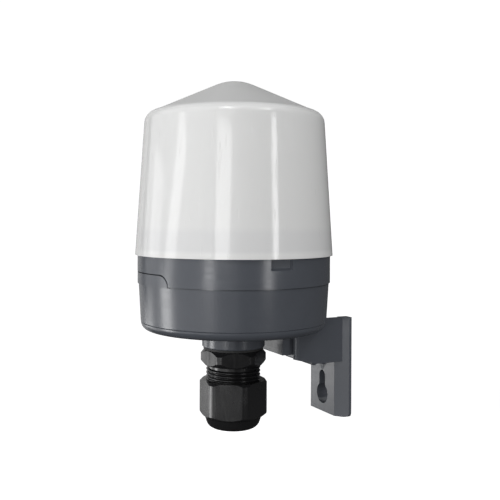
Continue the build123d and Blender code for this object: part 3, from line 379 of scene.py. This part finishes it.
pigment_noise = add_node(
    tree, "ShaderNodeTexNoise", {"Scale": 90.0, "Detail": 4.0}, {"Vector": where.outputs["Object"]}
)
pigment = add_node(tree, "ShaderNodeValToRGB", links={"Fac": pigment_noise.outputs["Fac"]})
pigment.color_ramp.elements[0].color = linear("#484b51")
pigment.color_ramp.elements[0].position = 0.3
pigment.color_ramp.elements[1].color = linear("#4b4e54")
pigment.color_ramp.elements[1].position = 0.7
rub = add_node(
    tree,
    "ShaderNodeMapRange",
    {"From Min": 0.35, "From Max": 0.7, "To Min": 0.2, "To Max": 0.27},
    {"Value": flow_lines.outputs["Fac"]},
)
housing_shader = add_node(
    tree,
    "ShaderNodeBsdfPrincipled",
    {"IOR": 1.52},
    {
        "Base Color": pigment.outputs["Color"],
        "Roughness": rub.outputs["Result"],
        "Normal": flow_bump.outputs[0],
    },
)
tree.links.new(housing_shader.outputs[0], output.inputs["Surface"])
base_piece = true_copy("wall_base", "base_moulding")
base_piece.data.materials.append(housing_material)

# Control ring: a second moulding in the same plastic, screwed to the base from inside. It carries
# the circuit board on its deck and the dome on its spigot.
ring_piece = true_copy("control_ring", "control_ring_moulding")
ring_piece.data.materials.append(housing_material)

# Dome: a thin opal polycarbonate shell that snaps over the spigot. Its mould was polished at the
# sides and left dull at the cone. The light that passes through the wall evens out its shade.
# Behind the lowest 10 mm stands the spigot, which takes some of that light away. That shade is
# painted into the colour, as are a painted highlight along the rim and painted shade on the cone,
# which faces up, away from the lamps.
# Heights above the rim in metres: the painted rim highlight ends and the painted spigot shade
# starts; the spigot ends and its painted shade clears; the shoulder starts and the cone's painted
# shade is full; the polish ends and the dull cone starts.
painted_rim_highlight_end, painted_spigot_shade_start = 0.0016, 0.0030
spigot_end, spigot_clear = 0.0092, 0.0117
shoulder_start, cone_start = 0.0555, 0.0580
polish_end, dull_start = 0.052, 0.059
dome_tall = float(dome_high[2] - dome_low[2])
dome_material, tree, output = new_material("opal_polycarbonate")
where = add_node(tree, "ShaderNodeTexCoord")
parts = add_node(tree, "ShaderNodeSeparateXYZ", links={"Vector": where.outputs["Object"]})
rise = add_node(
    tree,
    "ShaderNodeMapRange",
    {"From Min": float(dome_low[2]), "From Max": float(dome_high[2])},
    {"Value": parts.outputs["Z"]},
)
# Painted light and shade by height: this colour ramp paints the rim's highlight, the shade behind
# the spigot and the cone's shade.
painted_light_tone = add_node(tree, "ShaderNodeValToRGB", links={"Fac": rise.outputs["Result"]})
painted_tones = painted_light_tone.color_ramp
painted_tones.elements[0].color, painted_tones.elements[0].position = linear("#dbdbda"), 0.0
painted_tones.elements[1].color, painted_tones.elements[1].position = linear("#c4c4c3"), 1.0
for level, code in (
    (painted_rim_highlight_end, "#dbdbda"),
    (painted_spigot_shade_start, "#d2d2d2"),
    (spigot_end, "#d3d3d3"),
    (spigot_clear, "#d8d8d7"),
    (shoulder_start, "#d9d9d8"),
    (cone_start, "#c4c4c3"),
):
    painted_tones.elements.new(level / dome_tall).color = linear(code)
# Scratches from handling run up and down the shell. They are drawn 1 mm wide and 8 mm long,
# coarser than real ones, so that they show, and the turn takes them off the noise's own grid. The
# wall is a little wavy too, over about 18 mm.
scratch_line = add_node(
    tree,
    "ShaderNodeMapping",
    {"Scale": (900.0, 900.0, 120.0), "Rotation": (radians(24), radians(14), 0)},
    {"Vector": where.outputs["Object"]},
)
scratch_noise = add_node(
    tree, "ShaderNodeTexNoise", {"Scale": 1.0, "Detail": 2.0}, {"Vector": scratch_line.outputs[0]}
)
scratches = add_node(
    tree,
    "ShaderNodeMapRange",
    {"From Min": 0.66, "From Max": 0.72},
    {"Value": scratch_noise.outputs["Fac"]},
)
scratch_bump = add_node(
    tree,
    "ShaderNodeBump",
    {"Strength": 0.6, "Distance": 0.00006},
    {"Height": scratches.outputs["Result"]},
    invert=True,
)
wave_noise = add_node(
    tree, "ShaderNodeTexNoise", {"Scale": 55.0, "Detail": 2.0}, {"Vector": where.outputs["Object"]}
)
wave_bump = add_node(
    tree,
    "ShaderNodeBump",
    {"Strength": 0.25, "Distance": 0.0003},
    {"Height": wave_noise.outputs["Fac"], "Normal": scratch_bump.outputs[0]},
)
dulling = add_node(
    tree,
    "ShaderNodeMapRange",
    {
        "From Min": polish_end / dome_tall,
        "From Max": dull_start / dome_tall,
        "To Min": 0.11,
        "To Max": 0.42,
    },
    {"Value": rise.outputs["Result"]},
)
dome_shader = add_node(
    tree,
    "ShaderNodeBsdfPrincipled",
    {
        "IOR": 1.55,
        "Subsurface Weight": 0.25,
        "Subsurface Radius": (0.004, 0.004, 0.004),
        "Subsurface Scale": 1.0,
    },
    {
        "Base Color": painted_light_tone.outputs["Color"],
        "Roughness": dulling.outputs["Result"],
        "Normal": wave_bump.outputs[0],
    },
)
tree.links.new(dome_shader.outputs[0], output.inputs["Surface"])
dome_piece = true_copy("dome_cover", "dome_shell")
dome_piece.data.materials.append(dome_material)

# Gland body and nut: black polyamide, moulded with a half gloss. Thick flats sink a little as they
# cool, over about 8 mm, which breaks up the reflections on them, and handling leaves duller smears
# some 5 mm across.
nylon_material, tree, output = new_material("black_polyamide")
where = add_node(tree, "ShaderNodeTexCoord")
sink_marks = add_node(
    tree,
    "ShaderNodeTexNoise",
    {"Scale": 120.0, "Detail": 1.0},
    {"Vector": where.outputs["Object"]},
)
sink_bump = add_node(
    tree,
    "ShaderNodeBump",
    {"Strength": 0.2, "Distance": 0.0006},
    {"Height": sink_marks.outputs["Fac"]},
)
smears = add_node(
    tree,
    "ShaderNodeTexNoise",
    {"Scale": 210.0, "Detail": 2.0},
    {"Vector": where.outputs["Object"]},
)
smear_gloss = add_node(
    tree,
    "ShaderNodeMapRange",
    {"From Min": 0.3, "From Max": 0.7, "To Min": 0.16, "To Max": 0.28},
    {"Value": smears.outputs["Fac"]},
)
nylon_shader = add_node(
    tree,
    "ShaderNodeBsdfPrincipled",
    {"Base Color": linear("#1b1b1c"), "IOR": 1.5},
    {"Roughness": smear_gloss.outputs["Result"], "Normal": sink_bump.outputs[0]},
)
tree.links.new(nylon_shader.outputs[0], output.inputs["Surface"])
for node_name in ("gland_body", "gland_nut"):
    piece = true_copy(node_name, node_name + "_moulding")
    piece.data.materials.append(nylon_material)

# Cap thread: the turns of the gland's own thread that show between its hexagon and the nut. Pitch
# 1.5 mm; the crests are rounded by the mould and run out at both ends.
cap_radius, crest_radius, thread_pitch = 0.01025, 0.01105, 0.0015
thread_top, thread_bottom, thread_sunk = 0.0021, -0.0036, 0.0003
runout_turn = radians(50)


def thread_ridge(name, segments_a_turn=72):
    """A ridge wound about the body's axis: a rounded vee section of pitch width, carried down by
    one pitch a turn, its height eased to nothing over the runout at each end, and its underside
    sunk into the cap."""
    turns = (thread_top - thread_bottom) / thread_pitch
    along = np.linspace(0, turns * 2 * pi, int(turns * segments_a_turn) + 1)
    ease = np.clip(np.minimum(along, along[-1] - along) / runout_turn, 0, 1)
    ease = ease * ease * (3 - 2 * ease)
    flanks = [-0.47, -0.33, -0.17, -0.08, 0.08, 0.17, 0.33, 0.47]
    underside = [0.2, -0.2]
    across = np.array(flanks + underside) * thread_pitch
    share = np.array([0.0, 0.42, 0.86, 1.0, 1.0, 0.86, 0.42, 0.0])
    radius = cap_radius + (crest_radius - cap_radius) * share[None, :] * ease[:, None]
    under = np.full((len(along), len(underside)), cap_radius - thread_sunk)
    radius = np.concatenate([radius, under], axis=1)
    height = thread_top - thread_pitch * along[:, None] / (2 * pi) - across[None, :]
    places = [
        radius * np.cos(along)[:, None],
        axis_y + radius * np.sin(along)[:, None],
        height,
    ]
    count = radius.shape[1]
    points = np.stack(places, axis=-1).reshape(-1, 3)
    faces = [list(face) for face in grid_faces(len(along), count, ring=True)]
    last = (len(along) - 1) * count
    faces.append(list(range(count))[::-1])
    faces.append([last + k for k in range(count)])
    return mesh_piece(name, points, faces)


# The thread's part of the mould is polished, so that the nut runs freely: it looks blacker, with
# thin bright lines along its crests.
thread_material, tree, output = new_material("polished_black_polyamide")
thread_shader = add_node(
    tree,
    "ShaderNodeBsdfPrincipled",
    {"Base Color": linear("#131314"), "Roughness": 0.15, "IOR": 1.5},
)
tree.links.new(thread_shader.outputs[0], output.inputs["Surface"])
thread_piece = thread_ridge("cap_thread")
thread_piece.data.materials.append(thread_material)
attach(thread_piece, "root")

# Seals: moulded black EPDM rubber, matt, with the pale bloom that such rubber gets in patches.
# The washer and the grommet show a little at the gland; the two rings lie inside the joints.
def grained_material(name, dark, pale, patch, grain, relief, roughness, wear=0.12):
    """A moulded or dipped finish. Its colour drifts from dark to pale over patches of that many
    millimetres, a grain that fine and of that relief roughens it, and its roughness rises by the
    wear where it is palest. Noise scale = 1000 / size."""
    material, tree, output = new_material(name)
    where = add_node(tree, "ShaderNodeTexCoord")
    drift = add_node(
        tree,
        "ShaderNodeTexNoise",
        {"Scale": 1000 / patch, "Detail": 3.0},
        {"Vector": where.outputs["Object"]},
    )
    shade = add_node(tree, "ShaderNodeValToRGB", links={"Fac": drift.outputs["Fac"]})
    shade.color_ramp.elements[0].color, shade.color_ramp.elements[0].position = linear(dark), 0.3
    shade.color_ramp.elements[1].color, shade.color_ramp.elements[1].position = linear(pale), 0.7
    noise = add_node(
        tree,
        "ShaderNodeTexNoise",
        {"Scale": 1000 / grain, "Detail": 2.0},
        {"Vector": where.outputs["Object"]},
    )
    bump = add_node(
        tree,
        "ShaderNodeBump",
        {"Strength": 0.5, "Distance": relief / 1000},
        {"Height": noise.outputs["Fac"]},
    )
    worn = add_node(
        tree,
        "ShaderNodeMapRange",
        {"From Min": 0.3, "From Max": 0.7, "To Min": roughness, "To Max": roughness + wear},
        {"Value": drift.outputs["Fac"]},
    )
    shader = add_node(
        tree,
        "ShaderNodeBsdfPrincipled",
        {"IOR": 1.5},
        {
            "Base Color": shade.outputs["Color"],
            "Roughness": worn.outputs["Result"],
            "Normal": bump.outputs[0],
        },
    )
    tree.links.new(shader.outputs[0], output.inputs["Surface"])
    return material


def finish_nodes(material, *names):
    """Gives a material to solids that keep their own shape."""
    for name in names:
        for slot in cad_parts[name].material_slots:
            slot.material = material


rubber_material = grained_material(
    "moulded_epdm_rubber", "#1b1b1b", "#2a2a2a", 3.0, 0.3, 0.02, 0.62
)
for node_name in ("gland_washer", "gland_grommet"):
    piece = true_copy(node_name, node_name + "_rubber")
    piece.data.materials.append(rubber_material)
finish_nodes(rubber_material, "dome_seal", "base_seal")


# Screws and clamps: cold-formed steel with a thin bright zinc plating, which shows faint bluish
# patches. They hold the ring, the board and the terminal block, and clamp the wires.
def plated_material(name, dark, pale, patch, roughness, wear=0.15):
    """A plated metal. The plating's colour drifts from dark to pale over patches of that many
    millimetres, and its roughness rises by the wear where it is palest."""
    material, tree, output = new_material(name)
    where = add_node(tree, "ShaderNodeTexCoord")
    drift = add_node(
        tree,
        "ShaderNodeTexNoise",
        {"Scale": 1000 / patch, "Detail": 4.0},
        {"Vector": where.outputs["Object"]},
    )
    shade = add_node(tree, "ShaderNodeValToRGB", links={"Fac": drift.outputs["Fac"]})
    shade.color_ramp.elements[0].color, shade.color_ramp.elements[0].position = linear(dark), 0.35
    shade.color_ramp.elements[1].color, shade.color_ramp.elements[1].position = linear(pale), 0.65
    worn = add_node(
        tree,
        "ShaderNodeMapRange",
        {"From Min": 0.3, "From Max": 0.7, "To Min": roughness, "To Max": roughness + wear},
        {"Value": drift.outputs["Fac"]},
    )
    shader = add_node(
        tree,
        "ShaderNodeBsdfPrincipled",
        {"Metallic": 1.0},
        {"Base Color": shade.outputs["Color"], "Roughness": worn.outputs["Result"]},
    )
    tree.links.new(shader.outputs[0], output.inputs["Surface"])
    return material


zinc_material = plated_material("zinc_plated_steel", "#aab0b8", "#c6cacc", 2.0, 0.28)
finish_nodes(
    zinc_material,
    "housing_screws",
    "board_screws",
    "terminal_clamps",
    "terminal_screws",
    "block_screws",
)

# Circuit board: glass-epoxy laminate under a green solder mask. The copper tracks show through it
# as paler strips 0.9 mm wide, and the glass cloth's yarns, 0.5 mm wide, as a faint relief.
track_length, track_pitch, track_inset = 0.0093, 0.0019, 0.0005
yarn_width = 0.0005


def wave_scale(band):
    """A wave texture's scale for bands of that width in metres. At scale 1 it draws 20 / pi bands
    to the metre."""
    return pi / 20 / band


board_material, tree, output = new_material("solder_masked_laminate")
where = add_node(tree, "ShaderNodeTexCoord")
track_grid = add_node(
    tree,
    "ShaderNodeTexBrick",
    {
        "Scale": 1.0,
        "Color1": linear("#1f6a34"),
        "Color2": linear("#1b5e2e"),
        "Mortar": linear("#12421f"),
        "Mortar Size": track_inset,
        "Mortar Smooth": 0.1,
        "Brick Width": track_length,
        "Row Height": track_pitch,
    },
    {"Vector": where.outputs["Object"]},
)
weave_waves = []
for direction in ("X", "Y"):
    wave = add_node(
        tree,
        "ShaderNodeTexWave",
        {"Scale": wave_scale(yarn_width), "Distortion": 0.3},
        {"Vector": where.outputs["Object"]},
        wave_type="BANDS",
        bands_direction=direction,
    )
    weave_waves.append(wave.outputs["Fac"])
weave = add_node(
    tree, "ShaderNodeMath", links={0: weave_waves[0], 1: weave_waves[1]}, operation="MAXIMUM"
)
weave_bump = add_node(
    tree,
    "ShaderNodeBump",
    {"Strength": 0.4, "Distance": 0.00002},
    {"Height": weave.outputs[0]},
)
board_shader = add_node(
    tree,
    "ShaderNodeBsdfPrincipled",
    {"Roughness": 0.22, "IOR": 1.55},
    {"Base Color": track_grid.outputs["Color"], "Normal": weave_bump.outputs[0]},
)
tree.links.new(board_shader.outputs[0], output.inputs["Surface"])
finish_nodes(board_material, "circuit_board")

# Parts with cases: the relay in blue polyester, the dropper capacitor in yellow, the fuse in brown
# phenolic resin, the sensor's post in white ABS and the terminal block in grey polyamide, all
# moulded, and the varistor, which is dipped in blue epoxy and so has a coarse, glossy skin.
for node_name, name, dark, pale, patch, grain, relief, roughness in (
    ("relay", "relay_polyester", "#1d3f86", "#22468f", 8.0, 0.25, 0.01, 0.3),
    ("dropper_capacitor", "film_capacitor_polyester", "#c79a1e", "#d2a528", 6.0, 0.3, 0.012, 0.42),
    ("fuse", "fuse_phenolic_resin", "#5c2a1a", "#6a3322", 3.0, 0.2, 0.01, 0.4),
    ("sensor_post", "white_abs", "#dcdcd6", "#e6e6e1", 9.0, 0.4, 0.01, 0.36),
    ("terminal_block", "grey_polyamide", "#bfc1be", "#c9cbc8", 7.0, 0.35, 0.012, 0.4),
    ("varistor", "dipped_blue_epoxy", "#1f3f91", "#27499c", 4.0, 1.2, 0.06, 0.18),
):
    finish_nodes(grained_material(name, dark, pale, patch, grain, relief, roughness), node_name)

# Chips: the control circuit and the relay's driver, in black moulded epoxy on the board. The
# spark-eroded mould gives them a dull grain.
epoxy_material = grained_material(
    "moulded_black_epoxy", "#161616", "#1e1e1e", 2.0, 0.15, 0.012, 0.5
)
finish_nodes(epoxy_material, "control_chip", "relay_driver")


# Diodes and bleed resistor: bodies with printed rings, a grey one for the diode's cathode and four
# colour rings for the resistor's value.
def ringed_material(name, node_name, body, rings, roughness):
    """A grained finish with rings across the solid's length along X: a constant ramp over its
    box, where each ring starts at one share of the length and ends at the next."""
    material = grained_material(name, body, body, 2.0, 0.3, 0.02, roughness)
    tree = material.node_tree
    low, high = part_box(node_name)
    where = add_node(tree, "ShaderNodeTexCoord")
    parts = add_node(tree, "ShaderNodeSeparateXYZ", links={"Vector": where.outputs["Object"]})
    share = add_node(
        tree,
        "ShaderNodeMapRange",
        {"From Min": float(low[0]), "From Max": float(high[0])},
        {"Value": parts.outputs["X"]},
    )
    ramp = add_node(tree, "ShaderNodeValToRGB", links={"Fac": share.outputs["Result"]})
    ramp.color_ramp.interpolation = "CONSTANT"
    ramp.color_ramp.elements.remove(ramp.color_ramp.elements[1])
    ramp.color_ramp.elements[0].color = linear(body)
    for start, end, code in rings:
        ramp.color_ramp.elements.new(start).color = linear(code)
        ramp.color_ramp.elements.new(end).color = linear(body)
    tree.links.new(ramp.outputs["Color"], tree.nodes["Principled BSDF"].inputs["Base Color"])
    return material


cathode_ring = ((0.68, 0.78, "#b9bab8"),)
value_rings = (
    (0.24, 0.30, "#5a3416"),
    (0.37, 0.43, "#141414"),
    (0.50, 0.56, "#c9a227"),
    (0.68, 0.74, "#8c6a2f"),
)
for name, node_name, body, rings, roughness in (
    ("diode_epoxy", "rectifier_diodes", "#1a1a1a", cathode_ring, 0.35),
    ("resistor_lacquer", "bleed_resistor", "#7d9cab", value_rings, 0.24),
):
    finish_nodes(ringed_material(name, node_name, body, rings, roughness), node_name)

# Smoothing capacitor: an aluminium can in a shrunk black sleeve, which is bare on top and has the
# pale stripe that marks the negative lead.
stripe_share, bare_top = 0.08, 0.0004
sleeve_material = grained_material(
    "shrunk_pvc_sleeve", "#15161a", "#1c1d22", 3.0, 0.8, 0.03, 0.2
)
tree = sleeve_material.node_tree
sleeve_colour = tree.nodes["Principled BSDF"].inputs["Base Color"]
can_low, can_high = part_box("smoothing_capacitor")
where = add_node(tree, "ShaderNodeTexCoord")
parts = add_node(tree, "ShaderNodeSeparateXYZ", links={"Vector": where.outputs["Object"]})
stripe_start = float(can_high[0] - stripe_share * (can_high[0] - can_low[0]))
on_stripe = add_node(
    tree,
    "ShaderNodeMath",
    {1: stripe_start},
    {0: parts.outputs["X"]},
    operation="GREATER_THAN",
)
on_top = add_node(
    tree,
    "ShaderNodeMath",
    {1: float(can_high[2]) - bare_top},
    {0: parts.outputs["Z"]},
    operation="GREATER_THAN",
)
striped = add_node(
    tree,
    "ShaderNodeMix",
    {"B": linear("#a9abad")},
    {"Factor": on_stripe.outputs[0], "A": sleeve_colour.links[0].from_socket},
    data_type="RGBA",
)
topped = add_node(
    tree,
    "ShaderNodeMix",
    {"B": linear("#c3c5c7")},
    {"Factor": on_top.outputs[0], "A": striped.outputs["Result"]},
    data_type="RGBA",
)
tree.links.new(topped.outputs["Result"], sleeve_colour)
finish_nodes(sleeve_material, "smoothing_capacitor")

# Light sensor: a photoresistor on a ceramic disc. The cadmium sulphide runs in red-brown strips
# between pale electrodes, each about 0.5 mm wide, under a clear drop of epoxy.
strip_width = 0.0005
sensor_material, tree, output = new_material("coated_photoresistor")
where = add_node(tree, "ShaderNodeTexCoord")
strips = add_node(
    tree,
    "ShaderNodeTexWave",
    {"Scale": wave_scale(strip_width), "Distortion": 0.0},
    {"Vector": where.outputs["Object"]},
    wave_type="BANDS",
    bands_direction="X",
    wave_profile="TRI",
)
strip_tone = add_node(tree, "ShaderNodeValToRGB", links={"Fac": strips.outputs["Fac"]})
strip_tone.color_ramp.elements[0].color = linear("#9c4a22")
strip_tone.color_ramp.elements[0].position = 0.4
strip_tone.color_ramp.elements[1].color = linear("#d9cba6")
strip_tone.color_ramp.elements[1].position = 0.5
sensor_shader = add_node(
    tree,
    "ShaderNodeBsdfPrincipled",
    {"Roughness": 0.5, "Coat Weight": 0.9, "Coat Roughness": 0.08},
    {"Base Color": strip_tone.outputs["Color"]},
)
tree.links.new(sensor_shader.outputs[0], output.inputs["Surface"])
finish_nodes(sensor_material, "light_sensor")

# Contacts: stamped brass blades and sockets under a satin tin plating that lets a little yellow
# through. They plug the board onto the terminals below it.
tin_material = plated_material("tinned_brass", "#b8b09a", "#cfcab8", 1.5, 0.3)
finish_nodes(tin_material, "contact_blades", "contact_sockets")
